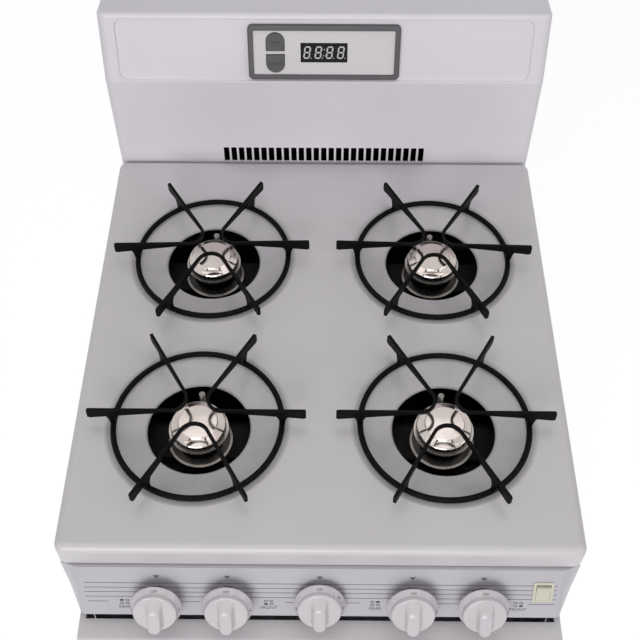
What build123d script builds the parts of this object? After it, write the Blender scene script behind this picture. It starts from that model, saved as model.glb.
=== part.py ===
"""Freestanding 20 inch gas range: open burners, oven above, broiler drawer below.

Millimetres, +Z up, +Y to the back, origin on the floor under the middle of the range.
"""
import os
from math import asin, atan2, cos, radians, sin

from build123d import *

os.makedirs("parts", exist_ok=True)

# Overall sizes
width = 508.0
cook_z = 914.0
total_z = 1115.0
front_y = -352.0
rear_y = 352.0
sheet = 1.2
body_half = 252.0
body_front_y = -250.5
body_bottom_z = 45.0

# Cooktop and burners
lip_z = 885.0
cook_front_y = -253.5
cook_rear_y = 270.0
cook_corner_r = 10.0
cook_edge_r = 8.0
burner_x = 126.25
burner_y = 112.35
burner_places = {
    "front_left": (-burner_x, -burner_y),
    "front_right": (burner_x, -burner_y),
    "rear_left": (-burner_x, burner_y),
    "rear_right": (burner_x, burner_y),
}
well_r = 96.0
hole_r = 53.0
hinge_y = cook_rear_y - cook_edge_r
hinge_z = cook_z - cook_edge_r
hinge_pin_r = 3.0
hinge_x = 237.0

# Grates
ring_r = 86.3
ring_wire_r = 3.0
ring_z = cook_z + 0.4
arm_tip_r = 110.0
bar_w = 3.2
bar_top_z = cook_z + 24.5
bar_bottom_z = bar_top_z - bar_w
bar_bend_r = 15.0
arm_pairs = [(0, 60), (120, 180), (240, 300)]
grate_turns = {"front_left": 0.0, "front_right": 0.0, "rear_left": 1.5, "rear_right": -1.5}

# Control panel: a slanted face between a top and a bottom edge
panel_top_y, panel_top_z = -257.0, 883.3
panel_bottom_y, panel_bottom_z = -282.0, 828.0
panel_half = 236.0
panel_tilt = atan2(panel_top_y - panel_bottom_y, panel_top_z - panel_bottom_z)
panel_out = Vector(0, -cos(panel_tilt), sin(panel_tilt))
knob_x = [-159.0, -90.0, 0.0, 90.0, 159.0]
knob_names = ["rear_left", "front_left", "oven", "rear_right", "front_right"]
knob_along = 38.0
knob_hole_r = 15.0
burner_knob_out, oven_knob_out = 12.0, 7.5
switch_x, switch_along = 217.5, 26.6

# Oven door
door_half = 240.0
door_front_y, door_back_y = -307.5, -257.0
door_bottom_z, door_top_z = 262.0, 818.0
door_axis_y, door_axis_z = -292.0, 268.0
door_pin_r = 4.0
door_arm_x = 203.0
window_w, window_h, window_z = 300.0, 190.0, 560.0
handle_z = 772.0

# Oven and broiler
oven_half = 200.0
oven_back_y = 200.0
oven_bottom_z, oven_top_z = 330.0, 710.0
drawer_bottom_z, drawer_top_z = 62.0, 250.0
drawer_front_y = -303.0
broiler_half = 224.0

# Backguard: a vertical lower face, then a face leaning back
guard_face_y = 272.0
guard_kink_z = 1036.0
guard_top_y = 292.7
guard_lean = atan2(guard_top_y - guard_face_y, total_z - guard_kink_z)
guard_out = Vector(0, -cos(guard_lean), sin(guard_lean))
guard_recess = 2.0

centre_min = (Align.CENTER, Align.CENTER, Align.MIN)


def write(piece, name):
    """Label a finished piece and write its file."""
    piece.part.label = name
    export_step(piece.part, f"parts/{name}.step")


def block(x0, x1, y0, y1, z0, z1, mode=Mode.ADD):
    """A straight-sided block between two corners."""
    with Locations(((x0 + x1) / 2, (y0 + y1) / 2, (z0 + z1) / 2)):
        Box(abs(x1 - x0), abs(y1 - y0), abs(z1 - z0), mode=mode)


def crown_middle(radius, rise):
    """Middle of a round crown's arc, as its radius and its depth below the tip."""
    ball = (radius**2 + rise**2) / (2 * rise)
    half = asin(radius / ball) / 2
    return ball * sin(half), ball * (1 - cos(half))


def upright(x, y, z=0.0):
    """Upright plane facing the front: local x is across, local y is up."""
    return Plane(origin=(x, y, z), x_dir=(1, 0, 0), z_dir=(0, -1, 0))


def panel_plane(x, along, out=0.0):
    """Plane on the control panel: x across, along down from its top edge, out from its face."""
    foot = Vector(x, panel_top_y - along * sin(panel_tilt), panel_top_z - along * cos(panel_tilt))
    return Plane(origin=foot + panel_out * out, x_dir=(1, 0, 0), z_dir=panel_out)


def panel_section(x, out):
    """Plane through a knob's axis: local x is the radius, local y runs on from out, off the panel."""
    foot = panel_plane(x, knob_along, out).origin
    return Plane(origin=foot, x_dir=(1, 0, 0), z_dir=(0, -sin(panel_tilt), -cos(panel_tilt)))


def guard_plane(x, along, out=0.0):
    """Plane on the backguard's leaning face: along is up from its lower edge."""
    foot = Vector(x, guard_face_y + along * sin(guard_lean), guard_kink_z + along * cos(guard_lean))
    return Plane(origin=foot + guard_out * out, x_dir=(1, 0, 0), z_dir=guard_out)


# Cabinet shell

def side_panel(side):
    """Side panel with turned-in edges and a cooktop ledge; side is -1 for left, 1 for right."""
    return_w, bend_r = 14.0, 5.4
    rear_edge_y = 349.5
    side_top_z, guard_seat_z = 905.0, lip_z - 2.6
    seat_y = 251.0
    ledge_x, ledge_z, ledge_y = 240.2, 883.5, 240.0
    with BuildPart() as panel:
        with BuildSketch(Plane.XY.offset(body_bottom_z)):
            with BuildLine():
                FilletPolyline(
                    (side * (body_half - return_w), body_front_y + sheet / 2),
                    (side * (body_half - sheet / 2), body_front_y + sheet / 2),
                    (side * (body_half - sheet / 2), rear_edge_y - sheet / 2),
                    (side * (body_half - return_w), rear_edge_y - sheet / 2),
                    radius=bend_r,
                )
            trace(line_width=sheet)
        extrude(amount=side_top_z - body_bottom_z)
        block(side * (body_half - 20), side * (body_half + 1), seat_y, rear_edge_y + 1,
              guard_seat_z, side_top_z + 1, mode=Mode.SUBTRACT)
        block(side * (ledge_x - sheet), side * (body_half - sheet / 2), -ledge_y, ledge_y,
              ledge_z - sheet, ledge_z)
        block(side * (ledge_x - sheet), side * ledge_x, -ledge_y, ledge_y,
              ledge_z - sheet, cook_z - sheet - 0.4)
    return panel


for side, name in ((-1, "side_panel_left"), (1, "side_panel_right")):
    write(side_panel(side), name)

# Rear cover: a recessed sheet with vent slots, the gas inlet's hole and the cord gland's hole
cover_y = 321.0
regulator_x = 215.0
manifold_foot = panel_plane(0, knob_along, -59.5).origin
manifold_y, manifold_z = manifold_foot.Y, manifold_foot.Z
gland_x, gland_z = -200.0, 130.0
with BuildPart() as rear_cover:
    block(-250.2, 250.2, cover_y, cover_y + sheet, body_bottom_z, 880)
    with BuildSketch(Plane.XZ.offset(-cover_y)):
        with Locations((regulator_x, manifold_z)):
            Circle(24)
        with Locations((gland_x, gland_z)):
            Circle(11.1)
        with Locations((0, 780), (0, 180)):
            with GridLocations(24, 0, 12, 1):
                SlotOverall(48, 8, rotation=90)
    extrude(amount=-sheet, mode=Mode.SUBTRACT)
    with BuildSketch(Plane.XZ.offset(-cover_y - sheet)):
        with GridLocations(220, 0, 2, 1):
            with Locations((0, 480)):
                SlotOverall(420, 30, rotation=90)
    extrude(amount=-2.0, taper=30)
write(rear_cover, "rear_cover")

# Base frame: a shallow tray with a threaded plate over each foot
foot_places = [(-215, -205), (215, -205), (-215, 280), (215, 280)]
base_top_z = 60.0
base_half = body_half - 3.0
base_front_y = body_front_y + 4.0
with BuildPart() as base_frame:
    block(-base_half, base_half, base_front_y, cover_y - 0.5, body_bottom_z, base_top_z)
    block(-base_half + sheet, base_half - sheet, base_front_y + sheet, cover_y - 0.5 - sheet,
          body_bottom_z + sheet, base_top_z, mode=Mode.SUBTRACT)
    for x, y in foot_places:
        block(x - 20, x + 20, y - 20, y + 20, body_bottom_z + sheet, body_bottom_z + 7)
        with Locations((x, y, body_bottom_z)):
            Cylinder(5.3, 20, align=centre_min, mode=Mode.SUBTRACT)
write(base_frame, "base_frame")

# Leveling feet: a flared pad on a threaded stud
with BuildPart() as leveling_feet:
    for x, y in foot_places:
        with BuildSketch(upright(x, y)):
            with BuildLine():
                Polyline((0, 0), (18, 0), (18, 4), (9, 12), (9, 18), (5, 18), (5, 64), (0, 64), close=True)
            make_face()
        revolve(axis=Axis((x, y, 0), (0, 0, 1)))
write(leveling_feet, "leveling_feet")

# Front frame: the enamelled face round the oven mouth and the drawer mouth
with BuildPart() as front_frame:
    block(-237.6, 237.6, body_front_y, body_front_y + sheet, body_bottom_z, panel_bottom_z - 2)
    with BuildSketch(Plane.XZ.offset(-body_front_y)):
        with Locations((0, (oven_bottom_z + oven_top_z) / 2)):
            RectangleRounded(2 * oven_half, oven_top_z - oven_bottom_z, 12)
        with Locations((0, 156)):
            RectangleRounded(2 * 226, 184, 6)
    extrude(amount=-sheet, mode=Mode.SUBTRACT)
write(front_frame, "front_frame")

# Oven liner: a five-sided enamelled box with a front flange and four rack ledges a side
ledge_levels = [400.0, 470.0, 540.0, 610.0]
ledge_reach = 8.0
liner_front_y = body_front_y + sheet
flue_w, flue_z0, flue_z1 = 150.0, 655.0, 690.0
lamp_x, lamp_z = -130.0, 640.0
bulb_z = 692.0
with BuildPart() as oven_liner:
    block(-oven_half - sheet, oven_half + sheet, liner_front_y, oven_back_y + sheet,
          oven_bottom_z - sheet, oven_top_z + sheet)
    block(-218, 218, liner_front_y, liner_front_y + sheet, oven_bottom_z - 20, oven_top_z + 20)
    block(-oven_half, oven_half, liner_front_y, oven_back_y, oven_bottom_z, oven_top_z, mode=Mode.SUBTRACT)
    with BuildSketch(Plane.XY.offset(oven_bottom_z - sheet)):
        with Locations((0, -24)):
            Rectangle(2 * oven_half - 50, oven_back_y - liner_front_y - 50)
    extrude(amount=sheet, mode=Mode.SUBTRACT)
    for side in (-1, 1):
        for level in ledge_levels:
            with BuildSketch(Plane.XZ.offset(-190)):
                with BuildLine():
                    Polyline((side * oven_half, level - 12), (side * (oven_half - ledge_reach), level - 3),
                             (side * (oven_half - ledge_reach), level), (side * oven_half, level), close=True)
                make_face()
            extrude(amount=400)
    with BuildSketch(Plane.XZ.offset(-oven_back_y - sheet)):
        with Locations((0, (flue_z0 + flue_z1) / 2)):
            Rectangle(flue_w, flue_z1 - flue_z0)
        with Locations((lamp_x, lamp_z)):
            Circle(20.2)
        with Locations((75, bulb_z)):
            Circle(4)
    extrude(amount=sheet, mode=Mode.SUBTRACT)
write(oven_liner, "oven_liner")

# Oven floor: a lift-out sheet with slotted sides over the oven burner
with BuildPart() as oven_floor:
    block(-198, 198, -244, 196, oven_bottom_z + 0.2, oven_bottom_z + 0.2 + sheet)
    with BuildSketch(Plane.XY.offset(oven_bottom_z)):
        with Locations((-165, -24), (165, -24)):
            with GridLocations(0, 40, 1, 9):
                SlotOverall(34, 9)
    extrude(amount=4, mode=Mode.SUBTRACT)
    with BuildSketch(Plane.XY.offset(oven_bottom_z + 0.2 + sheet)):
        with Locations((0, -24)):
            RectangleRounded(250, 380, 20)
    extrude(amount=3, taper=45)
write(oven_floor, "oven_floor")

# Oven burner: a ported tube under the floor, fed from the back through a flared mixing end
oven_burner_z = 295.0
with BuildPart() as oven_burner:
    with BuildSketch(Plane.YZ):
        with BuildLine():
            Polyline((-175, oven_burner_z), (-175, oven_burner_z + 13), (205, oven_burner_z + 13),
                     (225, oven_burner_z + 9), (255, oven_burner_z + 14), (255, oven_burner_z), close=True)
        make_face()
    revolve(axis=Axis((0, 0, oven_burner_z), (0, 1, 0)))
    with BuildSketch(Plane.XZ.offset(-256)):
        with Locations((0, oven_burner_z)):
            Circle(7)
    extrude(amount=420, mode=Mode.SUBTRACT)
    with Locations((0, 0, oven_burner_z)):
        with GridLocations(0, 22, 1, 15):
            Box(40, 4, 5, mode=Mode.SUBTRACT)
    block(-30, 30, -190, -175, oven_burner_z - 4, oven_burner_z + 4)
    block(-6, 6, -190, -180, oven_burner_z + 4, oven_bottom_z - sheet - 0.1)
write(oven_burner, "oven_burner")

# Insulation: a blanket over the top, sides and back of the liner
wrap = 25.0
with BuildPart() as oven_insulation:
    block(-oven_half - wrap, oven_half + wrap, liner_front_y + sheet + 0.3, oven_back_y + wrap,
          oven_bottom_z + 2, oven_top_z + wrap)
    block(-oven_half - sheet - 0.3, oven_half + sheet + 0.3, liner_front_y, oven_back_y + sheet + 0.3,
          oven_bottom_z, oven_top_z + sheet + 0.3, mode=Mode.SUBTRACT)
    block(-219, 219, liner_front_y, liner_front_y + 1.6, oven_bottom_z, oven_top_z + 21, mode=Mode.SUBTRACT)
    with BuildSketch(Plane.XZ.offset(-oven_back_y)):
        with Locations((0, (flue_z0 + flue_z1) / 2)):
            Rectangle(flue_w + 4, flue_z1 - flue_z0 + 4)
        with Locations((lamp_x, lamp_z)):
            Circle(24)
        with Locations((75, bulb_z)):
            Circle(4)
    extrude(amount=-40, mode=Mode.SUBTRACT)
write(oven_insulation, "oven_insulation")

# Flue: a sheet duct from the oven's back wall up to a wide head behind the vent slots
duct_front_y, duct_back_y = 276.0, 317.0
duct_top_z, head_z = 940.0, 896.0
duct_half, head_half = flue_w / 2, 128.0
with BuildPart() as flue_duct:
    block(-duct_half, duct_half, oven_back_y + sheet + 0.2, duct_back_y, flue_z0, flue_z1)
    block(-duct_half, duct_half, duct_front_y, duct_back_y, flue_z0, duct_top_z)
    block(-head_half, head_half, duct_front_y, duct_back_y, head_z, duct_top_z)
    block(-duct_half + 1, duct_half - 1, oven_back_y, duct_back_y - 1, flue_z0 + 1, flue_z1 - 1,
          mode=Mode.SUBTRACT)
    block(-duct_half + 1, duct_half - 1, duct_front_y + 1, duct_back_y - 1, flue_z0 + 1, duct_top_z - 1,
          mode=Mode.SUBTRACT)
    block(-head_half + 1, head_half - 1, duct_front_y + 1, duct_back_y - 1, head_z + 1, duct_top_z - 1,
          mode=Mode.SUBTRACT)
    block(-head_half + 3, head_half - 3, duct_front_y - 1, duct_front_y + 1, cook_z - 6, duct_top_z - 3,
          mode=Mode.SUBTRACT)
write(flue_duct, "flue_duct")

# Oven lamp: a glass dome in a holder through the back wall
dome_r, dome_rise = 17.0, 14.0
dome_base_y = 188.0
dome_tip_y = dome_base_y - dome_rise
dome_mid = crown_middle(dome_r, dome_rise)
with BuildPart() as oven_lamp:
    with BuildSketch(Plane.YZ.offset(lamp_x)):
        with BuildLine():
            Polyline((dome_tip_y, lamp_z), (247, lamp_z), (247, lamp_z + 20), (199.8, lamp_z + 20),
                     (199.8, lamp_z + 24), (196, lamp_z + 24), (dome_base_y, lamp_z + dome_r))
            ThreePointArc((dome_base_y, lamp_z + dome_r), (dome_tip_y + dome_mid[1], lamp_z + dome_mid[0]),
                          (dome_tip_y, lamp_z))
        make_face()
    revolve(axis=Axis((lamp_x, 0, lamp_z), (0, 1, 0)))
write(oven_lamp, "oven_lamp")

# Oven racks: a wire frame with wires from front to back laid on it
rack_half = 197.0
rack_front_y, rack_back_y = -238.0, 186.0
rack_wires = 15
with BuildPart() as oven_racks:
    for level in (ledge_levels[0], ledge_levels[2]):
        frame_z = level + 3.1
        for side in (-1, 1):
            with BuildSketch(Plane.XZ.offset(-rack_back_y)):
                with Locations((side * (rack_half - 3), frame_z)):
                    Circle(3)
            extrude(amount=rack_back_y - rack_front_y)
        for y in (rack_front_y, -25.0, rack_back_y):
            with BuildSketch(Plane.YZ.offset(-rack_half)):
                with Locations((y, frame_z)):
                    Circle(3)
            extrude(amount=2 * rack_half)
        for i in range(rack_wires):
            wire_x = (i - (rack_wires - 1) / 2) * (2 * rack_half - 40) / (rack_wires - 1)
            with BuildSketch(Plane.XZ.offset(-rack_back_y)):
                with Locations((wire_x, frame_z + 3.5)):
                    Circle(2)
            extrude(amount=rack_back_y - rack_front_y)
write(oven_racks, "oven_racks")

# Broiler liner: three walls round the drawer, each side pressed into a runner ledge
runner_z = 150.0
with BuildPart() as broiler_liner:
    block(-broiler_half - sheet, broiler_half + sheet, liner_front_y + 0.2, 206, base_top_z + 2, 308)
    block(-broiler_half, broiler_half, liner_front_y - 1, 206 - sheet, base_top_z, 310, mode=Mode.SUBTRACT)
    block(-30, 30, 200, 210, oven_burner_z - 16, 320, mode=Mode.SUBTRACT)
    for side in (-1, 1):
        with BuildSketch(Plane.XZ.offset(-180)):
            with BuildLine():
                Polyline((side * broiler_half, runner_z - 14), (side * 214, runner_z - 5),
                         (side * 214, runner_z), (side * broiler_half, runner_z), close=True)
            make_face()
        extrude(amount=400)
write(broiler_liner, "broiler_liner")

# Gas train: burner rails, burners, caps, electrodes, manifold, valves, thermostat, regulator

rail_top_z = cook_z - 35.0
rail_foot_z = rail_top_z - 12.0
throat_r = 14.0
with BuildPart() as burner_rails:
    for y in (-burner_y, burner_y):
        with BuildSketch(Plane.YZ.offset(-250.4)):
            with BuildLine():
                FilletPolyline(
                    (y - 30, rail_foot_z), (y - 20, rail_foot_z), (y - 20, rail_top_z - sheet / 2),
                    (y + 20, rail_top_z - sheet / 2), (y + 20, rail_foot_z), (y + 30, rail_foot_z),
                    radius=1.5,
                )
            trace(line_width=sheet)
        extrude(amount=500.8)
        with Locations((-burner_x, y, rail_top_z), (burner_x, y, rail_top_z)):
            Cylinder(throat_r + 1.5, 30, mode=Mode.SUBTRACT)
write(burner_rails, "burner_rails")

tube_r, tube_bore_r = 9.0, 7.8
tube_z = 848.0
tube_mouth_y = -200.0
port_count = 30
rim_r, rim_z = 30.8, cook_z - 11.6


def burner_head(x, y, valve_x):
    """Cast burner: a ported cup on a flanged throat, with a mixing tube from its valve."""
    bend_y = y - (52.0 if y > 0 else 38.0)
    bend_r = 60.0 if y > 0 else 30.0
    mouth = (valve_x, tube_mouth_y, tube_z)
    mouth_plane = Plane(origin=mouth, x_dir=(1, 0, 0), z_dir=(0, 1, 0))
    axis = Axis((x, y, 0), (0, 0, 1))
    with BuildPart() as head:
        with BuildSketch(upright(x, y)):
            with BuildLine():
                Polyline((0, tube_z - 12), (throat_r, tube_z - 12), (throat_r, rail_top_z),
                         (33.5, rail_top_z), (33.5, rail_top_z + 2.5), (25, rail_top_z + 5),
                         (24, rail_top_z + 17), (28.5, rail_top_z + 23), (28.5, rim_z), (rim_r, rim_z),
                         (rim_r, rim_z + 1.2), (28.5, rim_z + 1.2), (28.5, cook_z - 4), (0, cook_z - 4),
                         close=True)
            make_face()
        revolve(axis=axis)
        with BuildLine():
            path = FilletPolyline(mouth, (valve_x, bend_y, tube_z), (x, y, tube_z), radius=bend_r)
        with BuildSketch(mouth_plane):
            Circle(tube_r)
        sweep(path=path)
        with BuildSketch(mouth_plane):
            Circle(tube_bore_r)
        sweep(path=path, mode=Mode.SUBTRACT)
        with BuildSketch(upright(x, y)):
            with BuildLine():
                Polyline((0, tube_z - 10), (throat_r - 2, tube_z - 10), (throat_r - 2, rail_top_z + 6),
                         (20.5, rail_top_z + 17), (26, rail_top_z + 24), (26, cook_z), (0, cook_z),
                         close=True)
            make_face()
        revolve(axis=axis, mode=Mode.SUBTRACT)
        with Locations((x, y, cook_z - 5.7)):
            with PolarLocations(27.5, port_count):
                Box(6, 2.2, 2.4, mode=Mode.SUBTRACT)
    return head.part


with BuildPart() as burners:
    for name, (x, y) in burner_places.items():
        add(burner_head(x, y, knob_x[knob_names.index(name)]))
write(burners, "burners")

# Burner caps: pressed lids with a flat crown, a sloping brim and three flats pressed in the brim
cap_r, crown_r, crown_h = 28.2, 20.5, 7.0
cap_z = cook_z - 3.9
flat_angles = [270, 30, 150]
flat_slope = radians(8.7)
cap_mid = crown_middle(crown_r - 0.8, 0.6)
with BuildPart() as burner_caps:
    for x, y in burner_places.values():
        with BuildSketch(upright(x, y, cap_z)):
            with BuildLine():
                Polyline((0, -2), (25.6, -2), (25.6, 0), (cap_r, 0), (cap_r, 1.2), (cap_r - 0.6, 2.0),
                         (cap_r - 1.6, 2.6), (crown_r, 5.4), (crown_r - 0.8, crown_h - 0.6))
                ThreePointArc((crown_r - 0.8, crown_h - 0.6), (cap_mid[0], crown_h - cap_mid[1]),
                              (0, crown_h))
                Line((0, crown_h), (0, -2))
            make_face()
        revolve(axis=Axis((x, y, 0), (0, 0, 1)))
        for angle in flat_angles:
            out = Vector(cos(radians(angle)), sin(radians(angle)), 0)
            down = out * cos(flat_slope) - Vector(0, 0, sin(flat_slope))
            lean = out * sin(flat_slope) + Vector(0, 0, cos(flat_slope))
            with BuildSketch(Plane(origin=Vector(x, y, cap_z + 2.4) + out * 26.5, x_dir=down, z_dir=lean)):
                Rectangle(11, 25)
            extrude(amount=6, mode=Mode.SUBTRACT)
write(burner_caps, "burner_caps")

# Spark electrodes: a ceramic rod with a bent wire tip behind each burner, on a strap from its rail
electrode_r, electrode_h = 3.2, 36.0
electrode_back = 42.0
tip_h, tip_reach = 2.5, 7.5
strap_z = rail_foot_z + sheet / 2 + 0.05
with BuildPart() as spark_electrodes:
    for x, y in burner_places.values():
        post_y = y + electrode_back
        tip_z = strap_z + electrode_h + tip_h
        block(x - 6, x + 6, y + 23, post_y + 6, strap_z, strap_z + 1.5)
        with Locations((x, post_y, strap_z)):
            Cylinder(6, 5, align=centre_min)
            Cylinder(electrode_r, electrode_h, align=centre_min)
            Cylinder(1.0, electrode_h + tip_h, align=centre_min)
        block(x - 0.8, x + 0.8, post_y - tip_reach, post_y + 0.8, tip_z - 1.6, tip_z)
write(spark_electrodes, "spark_electrodes")

# Spark module: a moulded box with four lead posts on the left side panel
with BuildPart() as spark_module:
    block(-250.6, -214, 140, 210, 780, 822)
    fillet(spark_module.edges().filter_by(Axis.X), 4)
    with Locations((-214, 175, 801)):
        with GridLocations(0, 15, 1, 4):
            with Locations(Location((0, 0, 0), (0, 90, 0))):
                Cylinder(3, 10, align=centre_min)
write(spark_module, "spark_module")

# Manifold: the pipe behind the valves, turned back along the right side to the regulator
pipe_r, pipe_bore_r = 9.5, 7.0
with BuildPart() as gas_manifold:
    with BuildLine():
        pipe_path = FilletPolyline((-185, manifold_y, manifold_z), (regulator_x, manifold_y, manifold_z),
                                   (regulator_x, 249.8, manifold_z), radius=28)
    for radius, mode in ((pipe_r, Mode.ADD), (pipe_bore_r, Mode.SUBTRACT)):
        with BuildSketch(Plane(origin=(-185, manifold_y, manifold_z), x_dir=(0, 1, 0), z_dir=(1, 0, 0))):
            Circle(radius)
        sweep(path=pipe_path, mode=mode)
    with BuildSketch(Plane(origin=(-185, manifold_y, manifold_z), x_dir=(0, 1, 0), z_dir=(1, 0, 0))):
        RegularPolygon(12.5, 6)
    extrude(amount=-10)
write(gas_manifold, "gas_manifold")

plug_r, plug_gap = 5.0, 0.06
stem_r = 3.5
with BuildPart() as valve_bodies:
    for x in (knob_x[0], knob_x[1], knob_x[3], knob_x[4]):
        with BuildSketch(panel_plane(x, knob_along, -52)):
            Circle(12)
        extrude(amount=18)
        with BuildSketch(panel_plane(x, knob_along, -34)):
            Circle(8)
        extrude(amount=10)
        with BuildSketch(panel_plane(x, knob_along, -24)):
            RectangleRounded(18, 18, 4)
        extrude(amount=5)
        block(x - 6, x + 6, -240, -225, tube_z - 12, tube_z + 5)
        with BuildSketch(Plane.XZ.offset(225)):
            with Locations((x, tube_z)):
                Circle(5)
        extrude(amount=-30)
        with BuildSketch(panel_plane(x, knob_along, -41)):
            Circle(plug_r + plug_gap)
        extrude(amount=30, mode=Mode.SUBTRACT)
        with BuildSketch(Plane.YZ.offset(x - 20)):
            with Locations((manifold_y, manifold_z)):
                Circle(pipe_r + 0.1)
        extrude(amount=40, mode=Mode.SUBTRACT)
write(valve_bodies, "valve_bodies")

# Thermostat: a boxy gas control on the manifold, its thin tube running to a bulb in the oven
with BuildPart() as oven_thermostat:
    with BuildSketch(panel_plane(0, knob_along, -52)):
        RectangleRounded(52, 24, 6)
    extrude(amount=16)
    with BuildSketch(panel_plane(0, knob_along, -36)):
        Circle(8)
    extrude(amount=17)
    with BuildSketch(panel_plane(0, knob_along, -41)):
        Circle(plug_r + plug_gap)
    extrude(amount=30, mode=Mode.SUBTRACT)
    with BuildSketch(Plane.YZ.offset(-40)):
        with Locations((manifold_y, manifold_z)):
            Circle(pipe_r + 0.1)
    extrude(amount=80, mode=Mode.SUBTRACT)
    with BuildLine():
        thin_tube = FilletPolyline((20, -232, 836), (20, -232, 872), (20, -160, 872), (20, -160, 760),
                                   (20, 240, 760), (75, 240, 760), (75, 240, bulb_z), (75, 150, bulb_z),
                                   radius=9)
    with BuildSketch(Plane(origin=(20, -232, 836), x_dir=(1, 0, 0), z_dir=(0, 0, 1))):
        Circle(1.2)
    sweep(path=thin_tube)
    with BuildSketch(Plane.XZ.offset(-160)):
        with Locations((75, bulb_z)):
            Circle(3)
    extrude(amount=140)
write(oven_thermostat, "oven_thermostat")

# Regulator: a cast body with a diaphragm dome and a tapped inlet facing the back
inlet_bore_r, inlet_depth = 9.1, 16.0
inlet_face_y = 338.0
with BuildPart() as gas_regulator:
    with BuildSketch(Plane.XZ.offset(-250)):
        with Locations((regulator_x, manifold_z)):
            Circle(14)
    extrude(amount=-70)
    with BuildSketch(Plane.XZ.offset(-320)):
        with Locations((regulator_x, manifold_z)):
            RegularPolygon(16, 6)
    extrude(amount=320 - inlet_face_y)
    with BuildSketch(upright(regulator_x, 286, manifold_z)):
        with BuildLine():
            Polyline((0, 0), (18, 0), (27, 16), (27, 20), (12, 30), (8, 40), (0, 40), close=True)
        make_face()
    revolve(axis=Axis((regulator_x, 286, 0), (0, 0, 1)))
    with BuildSketch(Plane.XZ.offset(-inlet_face_y)):
        with Locations((regulator_x, manifold_z)):
            Circle(inlet_bore_r)
    extrude(amount=inlet_depth, mode=Mode.SUBTRACT)
write(gas_regulator, "gas_regulator")

# Cord gland: a grooved bush in the rear cover
with BuildPart() as cord_gland:
    with BuildSketch(Plane.YZ.offset(gland_x)):
        with BuildLine():
            Polyline((cover_y - 4, gland_z + 6), (cover_y + sheet + 8, gland_z + 6),
                     (cover_y + sheet + 8, gland_z + 10), (cover_y + sheet + 0.1, gland_z + 16),
                     (cover_y + sheet + 0.1, gland_z + 11), (cover_y - 0.1, gland_z + 11),
                     (cover_y - 0.1, gland_z + 14), (cover_y - 4, gland_z + 14), close=True)
        make_face()
    revolve(axis=Axis((gland_x, 0, gland_z), (0, 1, 0)))
write(cord_gland, "cord_gland")

# Control panel, knobs and switch

def panel_form(inset):
    """The wedge of the control panel, drawn in by inset on every side but the back."""
    with BuildPart() as form:
        for z, face_y in ((panel_top_z - inset, panel_top_y), (panel_bottom_z + inset, panel_bottom_y)):
            with BuildSketch(Plane.XY.offset(z)):
                with BuildLine():
                    Polyline((-body_half + 1.5 * inset, body_front_y - 0.3),
                             (-panel_half + inset, face_y + inset), (panel_half - inset, face_y + inset),
                             (body_half - 1.5 * inset, body_front_y - 0.3), close=True)
                make_face()
        loft(ruled=True)
        creases = form.edges().filter_by(lambda e: abs(abs(e.center().X) - panel_half) < 2)
        fillet(creases, 6 - inset)
    return form.part


with BuildPart() as control_panel:
    add(panel_form(0))
    add(panel_form(sheet), mode=Mode.SUBTRACT)
    for x in knob_x:
        with BuildSketch(panel_plane(x, knob_along, 5)):
            Circle(knob_hole_r)
        extrude(amount=-12, mode=Mode.SUBTRACT)
    with BuildSketch(panel_plane(switch_x, switch_along, 5)):
        Rectangle(17.4, 22.2)
    extrude(amount=-12, mode=Mode.SUBTRACT)
write(control_panel, "control_panel")

# Switch housing: a rimmed frame with a boxed pocket behind it
rocker_out = -2.0
rocker_pin_r = 1.4
with BuildPart() as switch_housing:
    with BuildSketch(panel_plane(switch_x, switch_along, 0.05)):
        RectangleRounded(19.7, 24.4, 1.5)
    extrude(amount=1.8)
    with BuildSketch(panel_plane(switch_x, switch_along, 0.05)):
        Rectangle(17, 21.8)
    extrude(amount=-18)
    with BuildSketch(panel_plane(switch_x, switch_along, 3)):
        Rectangle(14.4, 19.4)
    extrude(amount=-15, mode=Mode.SUBTRACT)
    with BuildSketch(Plane(origin=panel_plane(switch_x, switch_along, rocker_out).origin, z_dir=(1, 0, 0))):
        Circle(rocker_pin_r + 0.06)
    extrude(amount=12, both=True, mode=Mode.SUBTRACT)
write(switch_housing, "switch_housing")


# Rocker: a dished paddle on two stub pins, pressed at its lower end at rest
rocker_tilt = radians(7)
rocker_half_w = 6.9
up_slope = Vector(0, sin(panel_tilt), cos(panel_tilt))
rocker_pivot = panel_plane(switch_x, switch_along, rocker_out).origin
rocker_up = up_slope * cos(rocker_tilt) + panel_out * sin(rocker_tilt)
with BuildPart() as light_rocker:
    with BuildSketch(Plane(origin=rocker_pivot, x_dir=rocker_up, z_dir=(1, 0, 0))):
        with BuildLine():
            ThreePointArc((-8.8, 5.2), (0, 4.0), (8.8, 5.2))
            Polyline((8.8, 5.2), (8.4, -1.0), (3.5, -5.0), (-3.5, -5.0), (-8.4, -1.0), (-8.8, 5.2))
        make_face()
    extrude(amount=rocker_half_w, both=True)
    with BuildSketch(Plane(origin=rocker_pivot, x_dir=rocker_up, z_dir=(1, 0, 0))):
        Circle(rocker_pin_r)
    extrude(amount=rocker_half_w + 1.3, both=True)
write(light_rocker, "light_rocker")


def flatted(radius, flat):
    """A round shaft section with one flat."""
    Circle(radius)
    with Locations((0, flat + radius)):
        Rectangle(4 * radius, 2 * radius, mode=Mode.SUBTRACT)


def valve_stem(x, knob_out):
    """Brass plug and shaft with a flatted end for the knob."""
    flat_out = knob_out - 4.0
    with BuildPart() as stem:
        with BuildSketch(panel_plane(x, knob_along, -40.5)):
            Circle(plug_r)
        extrude(amount=18)
        with BuildSketch(panel_plane(x, knob_along, -22.5)):
            Circle(stem_r)
        extrude(amount=flat_out + 22.5)
        with BuildSketch(panel_plane(x, knob_along, flat_out)):
            flatted(stem_r, stem_flat)
        extrude(amount=15)
    return stem


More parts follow.
